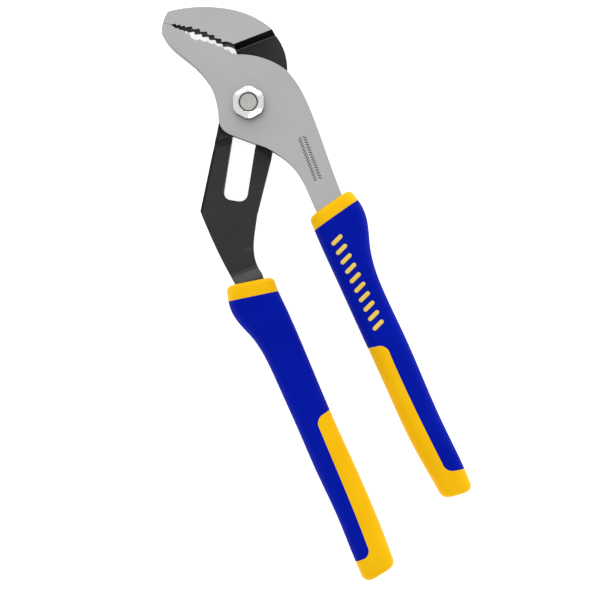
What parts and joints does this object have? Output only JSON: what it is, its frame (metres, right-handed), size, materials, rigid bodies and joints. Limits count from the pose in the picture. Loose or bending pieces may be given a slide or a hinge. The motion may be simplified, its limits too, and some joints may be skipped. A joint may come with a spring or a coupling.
{
  "type": "groove joint pliers",
  "caption": "Groove-joint pliers with a slotted rear lever, bright front lever, hex-nut pivot and two-colour moulded grips.",
  "frame": {"origin": "on the pivot's axis, on the rear face of the pivot bolt's head, which is the plane the tool lies on", "axes": "+Y towards the jaws, +Z towards the front face with the nut, +X to the right with the jaws up"},
  "size_m": [0.0696, 0.2581, 0.0214],
  "materials": {
    "front_lever": "satin ground steel",
    "rear_lever": "satin black oxide, upper jaw's front face ground bright",
    "pivot_bolt": "zinc plated",
    "pivot_nut": "bright nickel plate",
    "grip_core": "semi-matte yellow plastic",
    "grip_cover": "soft-touch blue thermoplastic rubber"
  },
  "bodies": {
    "front_lever_body": {"front_lever": "front_lever", "right_grip_core": "grip_core", "right_grip_cover": "grip_cover"},
    "pivot_body": {"pivot_bolt": "pivot_bolt", "pivot_nut": "pivot_nut"},
    "rear_lever_body": {"rear_lever": "rear_lever", "left_grip_core": "grip_core", "left_grip_cover": "grip_cover"}
  },
  "joints": [
    {"name": "jaw_pivot", "type": "hinge", "parent": "front_lever_body", "child": "pivot_body", "pos_m": [0, 0, 0], "axis": [0, 0, -1], "range_deg": [0, 60]},
    {"name": "slot_adjust", "type": "slide", "parent": "pivot_body", "child": "rear_lever_body", "axis": [0.5, 0.866, 0], "range_m": [0, 0.0348]}
  ]
}
